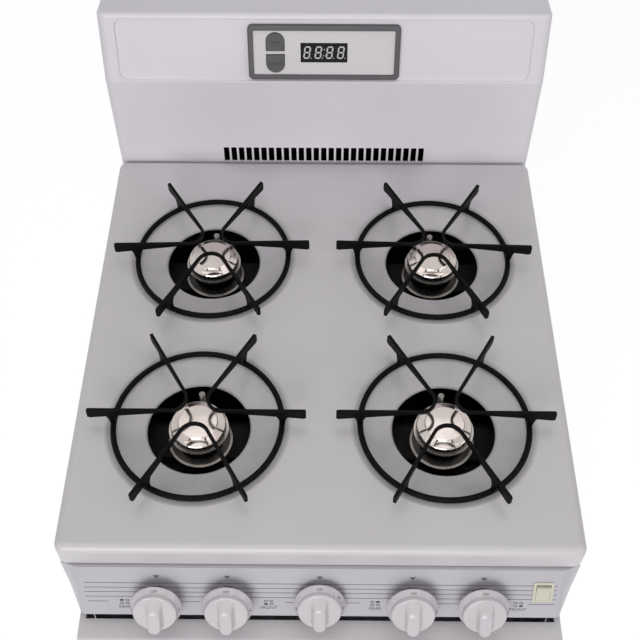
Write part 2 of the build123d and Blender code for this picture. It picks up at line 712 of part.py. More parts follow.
def joins_grip(edge, centre, out):
    """Whether an edge runs where a knob's grip meets its crown, about out along the knob's axis."""
    reach = (edge.center() - centre).dot(panel_out)
    radius = (edge.center() - centre - panel_out * reach).length
    return abs(reach - out) < 2 and radius < 19.2 and edge.geom_type != GeomType.CIRCLE


def knob(x, knob_out):
    """Moulded knob: a bevelled skirt, a crown with a crisp shoulder and a grip bar flared into it."""
    shoulder_r, shoulder_h, crown_h = 19.3, 11.5, 12.5
    crown_mid = crown_middle(shoulder_r, crown_h - shoulder_h)
    centre = panel_plane(x, knob_along).origin
    with BuildPart() as body:
        with BuildSketch(panel_section(x, knob_out)):
            with BuildLine():
                Polyline((0, 0.5), (7, 0.5), (7, 4.5), (20.2, 4.5), (22.6, 0), (24, 0), (24, 1.6),
                         (20.8, 6.5), (20.6, 10.2))
                ThreePointArc((20.6, 10.2), (20.22, 11.12), (shoulder_r, shoulder_h))
                ThreePointArc((shoulder_r, shoulder_h), (crown_mid[0], crown_h - crown_mid[1]), (0, crown_h))
                Line((0, crown_h), (0, 0.5))
            make_face()
        revolve(axis=Axis(centre, panel_out))
        with BuildSketch(panel_plane(x, knob_along, knob_out + 8)):
            SlotOverall(38.4, 11.0, rotation=90)
        extrude(amount=8, taper=4)
        crest = body.faces().sort_by(Axis(centre, panel_out))[-1]
        fillet(crest.edges(), 1.6)
        fillet(body.edges().filter_by(lambda e: joins_grip(e, centre, knob_out + shoulder_h)), 2.4)
        with BuildSketch(panel_plane(x, knob_along, knob_out)):
            flatted(stem_r + stem_gap, stem_flat + stem_gap)
        extrude(amount=15, mode=Mode.SUBTRACT)
    return body


stem_flat, stem_gap = 2.2, 0.06
for x, name in zip(knob_x, knob_names):
    knob_out = oven_knob_out if name == "oven" else burner_knob_out
    write(valve_stem(x, knob_out), f"valve_stem_{name}")
    write(knob(x, knob_out), f"knob_{name}")

# Backguard and clock

guard_bottom_z = lip_z
guard_top_rear = (346.0, 1108.0)
recess_w, recess_h, recess_along = 470.0, 74.0, 39.0
clock_along = 37.6


def guard_form(inset, drop):
    """The backguard's closed shape, drawn in by inset, its underside lowered by drop."""
    with BuildPart() as form:
        with BuildSketch(Plane.YZ):
            with BuildLine():
                Polyline((guard_face_y, guard_bottom_z - drop), (guard_face_y, guard_kink_z),
                         (guard_top_y, total_z), guard_top_rear, (rear_y, guard_top_rear[1] - 8),
                         (rear_y, guard_bottom_z - drop), close=True)
            make_face()
            if inset:
                offset(amount=-inset, kind=Kind.INTERSECTION)
        extrude(amount=width / 2 - inset, both=True)
        ends = form.faces().filter_by(Axis.X).edges()
        sides = ends.filter_by(lambda e: e.center().Y < guard_top_y and e.center().Z > guard_bottom_z + 1)
        fillet(sides, guard_end_r - inset)
        high = form.edges().filter_by(lambda e: e.center().Z > total_z - 4)
        fillet(high.filter_by(lambda e: e.center().Y < guard_top_y + 9), guard_crest_r - inset)
        with BuildSketch(guard_plane(0, recess_along, -inset)):
            RectangleRounded(recess_w + inset, recess_h + inset, 10)
        extrude(amount=-guard_recess, taper=30, mode=Mode.SUBTRACT)
    return form


guard_end_r, guard_crest_r = 10.0, 4.5
slot_count, slot_pitch, slot_w = 27, 9.23, 6.7
slot_z0, slot_z1 = 912.0, 934.5
inner_form = guard_form(sheet, 10)
with BuildPart() as backguard:
    add(guard_form(0, 0).part)
    add(inner_form.part, mode=Mode.SUBTRACT)
    with BuildSketch(Plane.XZ.offset(-guard_face_y + 1)):
        with Locations((0, (slot_z0 + slot_z1) / 2)):
            with GridLocations(slot_pitch, 0, slot_count, 1):
                RectangleRounded(slot_w, slot_z1 - slot_z0, 0.8)
    extrude(amount=-4, mode=Mode.SUBTRACT)
    with BuildSketch(guard_plane(0, clock_along, 2)):
        Rectangle(151, 53)
    extrude(amount=-8, mode=Mode.SUBTRACT)
write(backguard, "backguard")

# Clock case: a rounded bezel moulded with the box behind it
bezel_w, bezel_h, bezel_border = 172.0, 65.0, 6.0
fascia_w, fascia_h = bezel_w - 2 * bezel_border, bezel_h - 2 * bezel_border
with BuildPart() as clock_case:
    with BuildSketch(guard_plane(0, clock_along, -guard_recess + 0.05)):
        RectangleRounded(bezel_w, bezel_h, 5.5)
    extrude(amount=5.5)
    fillet(clock_case.faces().sort_by(Axis((0, 0, 0), guard_out))[-1].edges(), 2)
    with BuildSketch(guard_plane(0, clock_along, -guard_recess + 0.05)):
        Rectangle(150, 52)
    extrude(amount=-22)
    with BuildSketch(guard_plane(0, clock_along, -0.5)):
        RectangleRounded(fascia_w, fascia_h, 2)
    extrude(amount=10, mode=Mode.SUBTRACT)
    with BuildSketch(guard_plane(0, clock_along, -22)):
        Rectangle(146, 48.6)
    extrude(amount=30, mode=Mode.SUBTRACT)
write(clock_case, "clock_case")

display_w, display_h = 52.7, 23.0
button_x, button_w, button_h, button_gap = -55.0, 20.3, 21.5, 4.4


def pill_half(side, grow):
    """One half of the pill of two buttons: side 1 is the upper half, -1 the lower."""
    half = button_w / 2
    foot = side * button_gap / 2
    crown = side * (button_gap / 2 + button_h - half)
    with Locations((button_x, (foot + crown) / 2)):
        Rectangle(button_w + 2 * grow, abs(crown - foot) + 2 * grow)
    with Locations((button_x, crown)):
        Circle(half + grow)


with BuildPart() as clock_fascia:
    with BuildSketch(guard_plane(0, clock_along, -0.45)):
        RectangleRounded(fascia_w - 0.4, fascia_h - 0.4, 1.8)
    extrude(amount=2)
    with BuildSketch(guard_plane(0, clock_along, -1)):
        Rectangle(display_w + 0.4, display_h + 0.4)
        pill_half(1, 0.5)
        pill_half(-1, 0.5)
    extrude(amount=4, mode=Mode.SUBTRACT)
write(clock_fascia, "clock_fascia")

with BuildPart() as clock_display:
    with BuildSketch(guard_plane(0, clock_along, -8)):
        Rectangle(display_w, display_h)
    extrude(amount=9)
write(clock_display, "clock_display")

for side, name in ((1, "clock_button_upper"), (-1, "clock_button_lower")):
    with BuildPart() as clock_button:
        with BuildSketch(guard_plane(0, clock_along, -7)):
            pill_half(side, 0)
        extrude(amount=10.4)
        crest = clock_button.faces().sort_by(Axis((0, 0, 0), guard_out))[-1]
        fillet(crest.edges(), 0.8)
    write(clock_button, name)

# Cooktop: one pressed sheet with rolled edges, a skirt and four dished wells
cook_mid_y = (cook_front_y + cook_rear_y) / 2
ear_x0, ear_x1 = hinge_x - 2, hinge_x + 1


def well_dish(x, y):
    """A dished well: rolled rim, sloping bowl and a turned-down edge at the burner hole."""
    with BuildPart() as dish:
        with BuildSketch(upright(x, y, cook_z)):
            with BuildLine():
                ThreePointArc((well_r, 0), (93.8, -0.6), (91, -2.0))
                Line((91, -2.0), (56.5, -9.2))
                ThreePointArc((56.5, -9.2), (54.0, -10.3), (hole_r, -12.6))
                Line((hole_r, -12.6), (hole_r + sheet, -12.6))
                ThreePointArc((hole_r + sheet, -12.6), (55.0, -11.2), (57, -9.1 - sheet))
                Line((57, -9.1 - sheet), (91, -2.0 - sheet))
                ThreePointArc((91, -2.0 - sheet), (93.8, -0.6 - sheet), (well_r, -sheet))
                Line((well_r, -sheet), (well_r, 0))
            make_face()
        revolve(axis=Axis((x, y, 0), (0, 0, 1)))
    return dish.part


with BuildPart() as cooktop:
    with BuildSketch(Plane.XY.offset(lip_z)):
        with Locations((0, cook_mid_y)):
            RectangleRounded(width, cook_rear_y - cook_front_y, cook_corner_r)
    extrude(amount=cook_z - lip_z)
    fillet(cooktop.faces().sort_by(Axis.Z)[-1].edges(), cook_edge_r)
    offset(amount=-sheet, openings=cooktop.faces().sort_by(Axis.Z)[0])
    with Locations(*[(x, y, cook_z) for x, y in burner_places.values()]):
        Cylinder(well_r, 10, mode=Mode.SUBTRACT)
    for x, y in burner_places.values():
        add(well_dish(x, y))
    for side in (-1, 1):
        block(side * ear_x0, side * ear_x1, hinge_y - 6.5, hinge_y, hinge_z - 7, cook_z - 0.5)
        block(side * ear_x0, side * ear_x1, hinge_y, hinge_y + 4.8, hinge_z - 4.8, hinge_z + 4.8)
        block(side * (hinge_x + 2.5), side * (hinge_x + 8), cook_rear_y - 3, cook_rear_y + 1, lip_z - 1, 903,
              mode=Mode.SUBTRACT)
        with Locations(Location((side * hinge_x, hinge_y, hinge_z), (0, 90, 0))):
            Cylinder(hinge_pin_r + 0.05, 8, mode=Mode.SUBTRACT)
write(cooktop, "cooktop")

# Cooktop hinges: a pin on an upright plate with a foot on the backguard
with BuildPart() as cooktop_hinges:
    for side in (-1, 1):
        plate_x = side * (hinge_x + 4.2)
        with BuildSketch(Plane.YZ.offset(plate_x)):
            with Locations((hinge_y, hinge_z)):
                Circle(5.5)
            with Locations((hinge_y, hinge_z - 7)):
                Rectangle(8, 14)
            with Locations((hinge_y + 2, 890.5)):
                Rectangle(15, 9)
        extrude(amount=side * 2)
        block(plate_x, plate_x + side * 9, 270.6, 271.9, 886, 895)
        with BuildSketch(Plane.YZ.offset(plate_x)):
            with Locations((hinge_y, hinge_z)):
                Circle(hinge_pin_r)
        extrude(amount=-side * 8)
write(cooktop_hinges, "cooktop_hinges")


def grate(x, y, turn):
    """Wire grate: a ring under three V-shaped bars, deeper towards their six tips, on legs to the ring."""
    with BuildPart() as body:
        with BuildSketch(upright(x, y, ring_z)):
            with Locations((ring_r, 0)):
                Circle(ring_wire_r)
        revolve(axis=Axis((x, y, 0), (0, 0, 1)))
        across = Vector(cos(radians(turn)), sin(radians(turn)), 0)
        with BuildSketch(Plane(origin=(x, y, bar_bottom_z), x_dir=across)):
            for first, last in arm_pairs:
                with BuildLine():
                    ends = [(arm_tip_r * cos(radians(a)), arm_tip_r * sin(radians(a))) for a in (first, last)]
                    FilletPolyline(ends[0], (0, 0), ends[1], radius=bar_bend_r)
                trace(line_width=bar_w)
        extrude(amount=bar_top_z - bar_bottom_z)
        for angle in range(0, 360, 60):
            out = Vector(cos(radians(angle + turn)), sin(radians(angle + turn)), 0)
            with BuildSketch(Plane(origin=(x, y, cook_z), x_dir=out, z_dir=out.cross(Vector(0, 0, 1)))):
                with BuildLine():
                    Polyline((27, 24.4), (27, 21.3), (45, 19.5), (70, 16.6), (81, 15.2), (83.6, 9),
                             (83.6, -1), (88.9, -1), (90.3, 9), (92, 13.8), (104, 12.4), (108, 11.6),
                             (arm_tip_r + 1, 13),
                             (arm_tip_r + 1, 23), (arm_tip_r - 0.5, 24.5), (75, 24.5), (27, 24.4))
                make_face()
            extrude(amount=bar_w / 2, both=True)
    return body


for name, (x, y) in burner_places.items():
    write(grate(x, y, grate_turns[name]), f"grate_{name}")

# Oven door

slot_x0, slot_x1 = door_arm_x - 6.5, door_arm_x + 6.5
door_vent_y = -282.6
with BuildPart() as door_outer_panel:
    block(-door_half, door_half, door_front_y, door_back_y - 0.1, door_bottom_z, door_top_z)
    fillet(door_outer_panel.faces().sort_by(Axis.Y)[0].edges(), 6)
    offset(amount=-sheet, openings=door_outer_panel.faces().sort_by(Axis.Y)[-1])
    with BuildSketch(Plane.XZ.offset(-door_front_y + 1)):
        with Locations((0, window_z)):
            RectangleRounded(window_w, window_h, 12)
    extrude(amount=-6, mode=Mode.SUBTRACT)
    block(-door_half + 6, door_half - 6, door_vent_y, door_back_y, door_top_z - 2, door_top_z + 1,
          mode=Mode.SUBTRACT)
    for side in (-1, 1):
        block(side * slot_x0, side * slot_x1, -300.5, door_back_y, door_bottom_z - 1, door_bottom_z + 2,
              mode=Mode.SUBTRACT)
write(door_outer_panel, "door_outer_panel")

# Door inner panel: a sheet pressed into a plateau that sits in the oven mouth
plateau_w, plateau_h, plateau_z = 376.0, 356.0, 520.0
plateau_rise = 4.0
inner_back_y = door_back_y + sheet
with BuildPart() as door_inner_panel:
    block(-door_half + 2, door_half - 2, door_back_y, inner_back_y, door_bottom_z + 2, door_top_z - 2)
    with BuildSketch(Plane.XZ.offset(-inner_back_y)):
        with Locations((0, plateau_z)):
            RectangleRounded(plateau_w, plateau_h, 20)
    extrude(amount=-plateau_rise, taper=10)
    with BuildSketch(Plane.XZ.offset(-door_back_y)):
        with Locations((0, plateau_z)):
            RectangleRounded(plateau_w - 2 * sheet, plateau_h - 2 * sheet, 18.8)
    extrude(amount=-plateau_rise, taper=10, mode=Mode.SUBTRACT)
    with BuildSketch(Plane.XZ.offset(-door_back_y + 1)):
        with Locations((0, window_z)):
            RectangleRounded(window_w - 10, window_h - 10, 10)
    extrude(amount=-20, mode=Mode.SUBTRACT)
    for side in (-1, 1):
        block(side * slot_x0, side * slot_x1, door_back_y - 1, inner_back_y + 1,
              door_bottom_z, door_bottom_z + 18, mode=Mode.SUBTRACT)
write(door_inner_panel, "door_inner_panel")

# Door glass: a pane behind the front sheet and a pane on the inner panel
with BuildPart() as door_glass:
    with BuildSketch(Plane.XZ.offset(-door_front_y - sheet - 0.1)):
        with Locations((0, window_z)):
            RectangleRounded(window_w + 20, window_h + 16, 8)
    extrude(amount=-4)
    with BuildSketch(Plane.XZ.offset(-door_back_y - plateau_rise + 0.1)):
        with Locations((0, window_z)):
            RectangleRounded(window_w + 8, window_h + 8, 8)
    extrude(amount=4)
write(door_glass, "door_glass")

# Door gasket: a woven rope seal round the oven mouth
with BuildPart() as door_gasket:
    with BuildSketch(Plane.XZ.offset(-inner_back_y - 0.1)):
        with Locations((0, plateau_z)):
            RectangleRounded(428, 424, 26)
            RectangleRounded(410, 406, 17, mode=Mode.SUBTRACT)
    extrude(amount=-4.6)
write(door_gasket, "door_gasket")

# Door handle: a rounded bar turned back to the door at both ends
handle_half, handle_depth, handle_h = 178.0, 17.0, 26.0
handle_y, handle_foot_y = front_y + handle_depth / 2, door_front_y - 0.1
with BuildPart() as door_handle:
    with BuildLine():
        grip = FilletPolyline((-handle_half, handle_foot_y, handle_z), (-handle_half, handle_y, handle_z),
                              (handle_half, handle_y, handle_z), (handle_half, handle_foot_y, handle_z),
                              radius=22)
    with BuildSketch(upright(-handle_half, handle_foot_y, handle_z)):
        RectangleRounded(handle_depth, handle_h, 7)
    sweep(path=grip)
write(door_handle, "door_handle")

# Door hinges: an arm and pin on the front frame, a channel round the pin in the door
with BuildPart() as door_hinge_arms:
    for side in (-1, 1):
        arm_x = side * door_arm_x
        block(arm_x - 11, arm_x + 11, body_front_y - 2, body_front_y - 0.05, 258, 296)
        block(arm_x - 3, arm_x + 3, door_axis_y, body_front_y - 1, door_axis_z - 5, door_axis_z + 5)
        with BuildSketch(Plane.YZ.offset(arm_x - 3)):
            with Locations((door_axis_y, door_axis_z)):
                Circle(6)
        extrude(amount=6)
        with BuildSketch(Plane.YZ.offset(arm_x - 9)):
            with Locations((door_axis_y, door_axis_z)):
                Circle(door_pin_r)
        extrude(amount=18)
write(door_hinge_arms, "door_hinge_arms")

with BuildPart() as door_hinge_channels:
    for side in (-1, 1):
        arm_x = side * door_arm_x
        block(arm_x - 9, arm_x + 9, -302.5, -259, door_bottom_z + 2.5, 345)
        block(arm_x - 6, arm_x + 6, -301, -250, door_bottom_z, 350, mode=Mode.SUBTRACT)
        with BuildSketch(Plane.YZ.offset(arm_x - 10)):
            with Locations((door_axis_y, door_axis_z)):
                Circle(door_pin_r + 0.05)
        extrude(amount=20, mode=Mode.SUBTRACT)
write(door_hinge_channels, "door_hinge_channels")

# Broiler drawer

drawer_back_y = -258.0
with BuildPart() as drawer_front:
    block(-door_half, door_half, drawer_front_y, drawer_back_y, drawer_bottom_z, drawer_top_z)
    fillet(drawer_front.faces().sort_by(Axis.Y)[0].edges(), 6)
    offset(amount=-sheet, openings=drawer_front.faces().sort_by(Axis.Y)[-1])
    with BuildSketch(Plane.XY.offset(drawer_top_z + 1)):
        with Locations((0, -284)):
            RectangleRounded(220, 24, 8)
    extrude(amount=-4, mode=Mode.SUBTRACT)
write(drawer_front, "drawer_front")

tray_half, tray_back_y, tray_z = 211.0, 140.0, 84.0
flange_z = runner_z + 0.4
with BuildPart() as drawer_tray:
    block(-tray_half, tray_half, drawer_back_y + 0.1, tray_back_y, tray_z, flange_z + sheet)
    block(-222, 222, drawer_back_y + 20, tray_back_y, flange_z, flange_z + sheet)
    block(-door_half + 2, door_half - 2, drawer_back_y + 0.1, drawer_back_y + 0.1 + sheet,
          drawer_bottom_z + 2, drawer_top_z - 2)
    block(-tray_half + sheet, tray_half - sheet, drawer_back_y + 0.1 + sheet, tray_back_y - sheet,
          tray_z + sheet, drawer_top_z, mode=Mode.SUBTRACT)
write(drawer_tray, "drawer_tray")

# Broiler pan and its slotted grid
pan_y = -55.0
pan_z = tray_z + sheet + 0.2
with BuildPart() as broiler_pan:
    with BuildSketch(Plane.XY.offset(pan_z)):
        with Locations((0, pan_y)):
            RectangleRounded(360, 330, 24)
    extrude(amount=32, taper=-12)
    with BuildSketch(Plane.XY.offset(pan_z + 1.5)):
        with Locations((0, pan_y)):
            RectangleRounded(357, 327, 22.5)
    extrude(amount=32, taper=-12, mode=Mode.SUBTRACT)
write(broiler_pan, "broiler_pan")

with BuildPart() as broiler_grid:
    with BuildSketch(Plane.XY.offset(pan_z + 32.2)):
        with Locations((0, pan_y)):
            RectangleRounded(372, 342, 26)
            with GridLocations(0, 20, 1, 15):
                with Locations((-85, 0), (85, 0)):
                    SlotOverall(140, 6, mode=Mode.SUBTRACT)
    extrude(amount=1.5)
write(broiler_grid, "broiler_grid")
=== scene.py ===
from math import atan2, cos, pi, radians, sin

import bpy
from mathutils import Euler, Matrix, Vector


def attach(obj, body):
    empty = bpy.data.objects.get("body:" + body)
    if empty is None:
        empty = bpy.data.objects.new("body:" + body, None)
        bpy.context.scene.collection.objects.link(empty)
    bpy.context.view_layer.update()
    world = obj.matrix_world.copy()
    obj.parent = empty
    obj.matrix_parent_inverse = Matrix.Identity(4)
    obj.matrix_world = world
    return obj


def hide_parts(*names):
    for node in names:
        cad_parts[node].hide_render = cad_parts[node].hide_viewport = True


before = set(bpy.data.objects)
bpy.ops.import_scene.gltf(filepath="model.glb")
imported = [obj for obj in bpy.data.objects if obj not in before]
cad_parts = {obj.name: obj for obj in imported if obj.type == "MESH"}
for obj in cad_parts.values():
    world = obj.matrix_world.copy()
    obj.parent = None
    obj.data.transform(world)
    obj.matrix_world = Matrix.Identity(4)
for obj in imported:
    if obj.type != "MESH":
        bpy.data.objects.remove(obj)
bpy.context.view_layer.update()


# Enamelled sheets: cabinet sides, front frame, backguard, control panel, cooktop, and the fronts
# of door and drawer. Pressed steel with a white porcelain coat fired on after forming, glassy,
# with a faint orange-peel ripple. A darker tone in the cooktop's wells is painted shade of the
# dished wells, partly dulled by heat. The backguard's lighter copy is painted light, and the
# darker copy on front frame and control panel is painted shade.
class Value:
    """A socket of a node tree; arithmetic on it adds Math nodes."""

    def __init__(self, shading, socket):
        self.shading = shading
        self.socket = socket

    def maths(self, operation, first, second=0.0):
        return self.shading.node("Math", {"operation": operation}, {0: first, 1: second})

    def __add__(self, other):
        return self.maths("ADD", self, other)

    def __radd__(self, other):
        return self.maths("ADD", other, self)

    def __sub__(self, other):
        return self.maths("SUBTRACT", self, other)

    def __rsub__(self, other):
        return self.maths("SUBTRACT", other, self)

    def __mul__(self, other):
        return self.maths("MULTIPLY", self, other)

    def __rmul__(self, other):
        return self.maths("MULTIPLY", other, self)

    def __gt__(self, other):
        return self.maths("GREATER_THAN", self, other)

    def __lt__(self, other):
        return self.maths("LESS_THAN", self, other)

    def __abs__(self):
        return self.maths("ABSOLUTE", self)

    def __pow__(self, other):
        return self.maths("POWER", self, other)


class Shading:
    """A node tree, with one method that adds any node."""

    def __init__(self, tree):
        self.tree = tree

    def node(self, kind, settings=None, inputs=None, output=0):
        """Add a node: its settings first, then the values or links of its sockets."""
        node = self.tree.nodes.new("ShaderNode" + kind)
        for name, setting in (settings or {}).items():
            setattr(node, name, setting)
        self.feed(node, inputs or {})
        return Value(self, node.outputs[output])

    def feed(self, node, inputs):
        for name, value in inputs.items():
            if isinstance(value, Value):
                self.tree.links.new(value.socket, node.inputs[name])
            else:
                node.inputs[name].default_value = value


class Finish(Shading):
    """A material, with short forms for the nodes that most finishes need."""

    def __init__(self, name):
        self.material = bpy.data.materials.new(name)
        self.material.use_nodes = True
        super().__init__(self.material.node_tree)
        self.shader = self.tree.nodes["Principled BSDF"]
        self.place = self.node("TexCoord", output="Object")

    def noise(self, scale, detail=2.0, roughness=0.5):
        return self.node("TexNoise", inputs={"Vector": self.place, "Scale": scale, "Detail": detail,
                                             "Roughness": roughness})

    def spread(self, value, low, high):
        """Stretch a value's span from low to high over 0 to 1."""
        return self.node("MapRange", inputs={"Value": value, "From Min": low, "From Max": high})

    def blend(self, share, first, second):
        """Mix two colours, each a plain colour or a value."""
        first, second = [part if isinstance(part, Value) else (*part, 1) for part in (first, second)]
        return self.node("Mix", {"data_type": "RGBA"}, {0: share, 6: first, 7: second}, output=2)

    def bump(self, height, depth, strength=1.0):
        return self.node("Bump", inputs={"Height": height, "Distance": depth, "Strength": strength})

    def surface(self, **inputs):
        """Set the shader's sockets; underscores stand for spaces."""
        self.feed(self.shader, {name.replace("_", " "): value for name, value in inputs.items()})
        return self.material


def coat(material, *names):
    """Put a finish on the named pieces of the frame."""
    for name in names:
        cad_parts[name].material_slots[0].material = material


# Darkest tone in the wells, as a share of the enamel's own: painted shade, partly dulled by heat.
shade_and_dulling_share = 0.80


def enamel(name, dark, light, shade_and_dulling=None):
    """White enamel; an optional function gives the share of a darker tone, painted shade partly dulled
    by heat.
    """
    finish = Finish(name)
    cloud = finish.spread(finish.noise(6.0, 3.0), 0.35, 0.65)
    colour = finish.blend(cloud, dark, light)
    if shade_and_dulling:
        colour = finish.blend(shade_and_dulling(finish), colour, tuple(shade_and_dulling_share * part for part in dark))
    return finish.surface(
        Base_Color=colour,
        Roughness=0.30 + 0.12 * finish.noise(60.0, 3.0),
        Normal=finish.bump(finish.noise(420.0, 1.0), 0.00004, 0.35),
        Coat_Weight=0.18,
        Coat_Roughness=0.18,
    )


burner_x, burner_y = 0.12625, 0.11235
shade_and_heat_full_r, shade_and_heat_end_r = 0.078, 0.094


def well_shade_and_heat(finish):
    """Share of the darker tone, painted shade partly dulled by heat: patchy over each well, fading out
    towards its rim.
    """
    x, y = [abs(finish.node("SeparateXYZ", inputs={"Vector": finish.place}, output=axis))
            for axis in "XY"]
    reach = ((x - burner_x) ** 2.0 + (y - burner_y) ** 2.0) ** 0.5
    patch = finish.spread(finish.noise(28.0, 4.0, 0.6), 0.3, 0.7)
    return (1.0 - finish.spread(reach, shade_and_heat_full_r, shade_and_heat_end_r)) * (0.45 + 0.55 * patch)


# The cooktop: its wells darker, painted shade of the dished wells, partly dulled by heat.
coat(enamel("cooktop_enamel", (0.622, 0.594, 0.618), (0.650, 0.624, 0.644), well_shade_and_heat), "cooktop")
coat(enamel("side_enamel", (0.622, 0.594, 0.618), (0.650, 0.624, 0.644)),
     "side_panel_left", "side_panel_right", "door_outer_panel", "drawer_front")
# Backguard: the same white enamel, given a lighter tone that is painted light.
coat(enamel("guard_enamel_painted_light", (0.715, 0.684, 0.728), (0.748, 0.718, 0.757)), "backguard")
# Front frame and control panel: the same white enamel, given a darker tone that is painted shade.
coat(enamel("panel_enamel_painted_shade", (0.495, 0.480, 0.520), (0.518, 0.503, 0.540)),
     "front_frame", "control_panel")


# Base frame, feet, rear cover and hinges: plain sheet and bar with a zinc coat, folded and
# spot welded, never enamelled because they hardly show.
def zinc_sheet():
    finish = Finish("zinc_sheet")
    spangle = finish.node("TexVoronoi", inputs={"Vector": finish.place, "Scale": 90.0}, output="Color")
    grain = finish.node("SeparateColor", inputs={"Color": spangle})
    return finish.surface(
        Base_Color=finish.blend(grain, (0.42, 0.43, 0.44), (0.60, 0.61, 0.62)),
        Metallic=1.0,
        Roughness=0.36 + 0.18 * grain,
        Normal=finish.bump(finish.noise(300.0), 0.00003, 0.4),
    )


coat(zinc_sheet(), "base_frame", "leveling_feet", "rear_cover", "cooktop_hinges", "door_hinge_arms",
     "door_hinge_channels")


# Burner rails and flue duct: folded steel sheet with heat-proof black paint, dusty with soot.
# The rails carry the burners, and the duct takes the oven's gases up to the vent slots. Their
# near-black is partly painted shade, keeping the cabinet's inside dark behind the burner holes
# and the vent slots.
def heat_black():
    finish = Finish("heat_black")
    soot = finish.spread(finish.noise(35.0, 5.0, 0.6), 0.35, 0.75)
    return finish.surface(
        Base_Color=finish.blend(soot, (0.0030, 0.0030, 0.0031), (0.008, 0.0075, 0.0072)),
        Roughness=0.55 + 0.25 * soot,
        Specular_IOR_Level=0.12,
        Normal=finish.bump(finish.noise(260.0, 3.0), 0.00008, 0.5),
    )


coat(heat_black(), "burner_rails", "flue_duct")


# Oven and broiler liners, their trays and the door's inner sheet: pressed steel with a dark
# coat, speckled with pale frit. The inner sheet's side within the door has only a pale coat; its
# bluish pale tone is partly painted light, lifting the shaded gap between control panel and door.
def speckled_enamel(name, pale_and_lit_before=None):
    """Dark speckled enamel, pale where a piece lies before the given depth; that pale tone is partly
    painted light.
    """
    finish = Finish(name)
    speck = finish.spread(finish.noise(650.0, 1.0), 0.66, 0.70)
    colour = finish.blend(speck, (0.013, 0.014, 0.020), (0.30, 0.31, 0.34))
    if pale_and_lit_before:
        depth = finish.node("SeparateXYZ", inputs={"Vector": finish.place}, output="Y")
        colour = finish.blend(depth < pale_and_lit_before, colour, (0.66, 0.67, 0.72))
    return finish.surface(
        Base_Color=colour,
        Roughness=0.22 + 0.15 * finish.noise(40.0, 3.0),
        Normal=finish.bump(finish.noise(350.0, 1.0), 0.00004, 0.4),
    )


door_sheet_y = -0.2568
coat(speckled_enamel("speckled_enamel"),
     "oven_liner", "oven_floor", "broiler_liner", "drawer_tray", "broiler_pan")
# The door sheet's cavity side: a pale ground coat, partly painted light for the gap over the door.
coat(speckled_enamel("door_sheet_enamel", door_sheet_y), "door_inner_panel")


# Oven insulation and the door's seal: black-faced mineral wool laid round the liner, its black
# partly painted shade that keeps the oven's surround dark behind the vent slots, and a rope
# woven of grey glass yarn clipped to the door's inner sheet.
def mineral_wool():
    finish = Finish("mineral_wool")
    tuft = finish.noise(180.0, 6.0, 0.7)
    return finish.surface(
        Base_Color=finish.blend(tuft, (0.004, 0.004, 0.004), (0.016, 0.015, 0.014)),
        Roughness=0.95,
        Specular_IOR_Level=0.1,
        Normal=finish.bump(tuft, 0.002),
    )


def woven_rope():
    finish = Finish("woven_rope")
    strand = finish.node("TexWave", {"bands_direction": "DIAGONAL"},
                         {"Vector": finish.place, "Scale": 160.0, "Distortion": 1.5})
    return finish.surface(
        Base_Color=finish.blend(strand, (0.05, 0.05, 0.05), (0.16, 0.16, 0.155)),
        Roughness=0.9,
        Normal=finish.bump(strand, 0.0006),
    )


coat(mineral_wool(), "oven_insulation")
coat(woven_rope(), "door_gasket")


# Oven burner and gas manifold: bare steel tube, straw and blue from heat where the flame licks
# it. The burner lies below the oven floor, and the manifold runs behind the valves.
def heated_steel():
    finish = Finish("heated_steel")
    tint = finish.spread(finish.noise(14.0, 4.0), 0.35, 0.65)
    return finish.surface(
        Base_Color=finish.blend(tint, (0.20, 0.19, 0.20), (0.40, 0.34, 0.27)),
        Metallic=1.0,
        Roughness=0.35 + 0.2 * finish.noise(120.0),
        Normal=finish.bump(finish.noise(500.0), 0.00002, 0.4),
    )


coat(heated_steel(), "oven_burner", "gas_manifold")


# Gas regulator and oven thermostat: zinc die castings, pale and finely grained. The regulator
# sits at the manifold's rear end, the thermostat behind the oven's knob.
def casting(name, dark, light, grain):
    finish = Finish(name)
    skin = finish.noise(grain, 4.0, 0.6)
    return finish.surface(
        Base_Color=finish.blend(finish.spread(skin, 0.3, 0.7), dark, light),
        Metallic=0.85,
        Roughness=0.42 + 0.25 * skin,
        Normal=finish.bump(skin, 0.0001, 0.6),
    )


coat(casting("die_casting", (0.40, 0.40, 0.41), (0.56, 0.56, 0.57), 420.0),
     "gas_regulator", "oven_thermostat")


# Burner heads: cast cups, dark and shiny from heat, with a turned base ring and a turned rim
# under the ports that stay bright.
base_ring_z, port_rim_z = (0.8785, 0.8822), (0.9022, 0.9038)


def burner_casting():
    finish = Finish("burner_casting")
    height = finish.node("SeparateXYZ", inputs={"Vector": finish.place}, output="Z")
    ring, rim = [(height > low) * (height < high) for low, high in (base_ring_z, port_rim_z)]
    skin = finish.noise(260.0, 4.0, 0.6)
    return finish.surface(
        Base_Color=finish.blend(rim, finish.blend(ring, (0.028, 0.026, 0.025), (0.20, 0.18, 0.165)),
                                (0.42, 0.39, 0.36)),
        Metallic=0.9,
        Roughness=0.20 + 0.16 * skin,
        Normal=finish.bump(skin, 0.00005, 0.5),
    )


coat(burner_casting(), "burners")


# Burner caps: pressed steel lids with warm nickel plate, faintly hazed by heat. Oven racks and
# broiler grid: bright chromed wire and sheet.
def plate(name, dull, bright, roughness):
    finish = Finish(name)
    haze = finish.spread(finish.noise(45.0, 4.0), 0.4, 0.7)
    return finish.surface(
        Base_Color=finish.blend(haze, bright, dull),
        Metallic=1.0,
        Roughness=roughness + 0.08 * haze,
        Normal=finish.bump(finish.noise(200.0, 1.0), 0.00001, 0.3),
    )


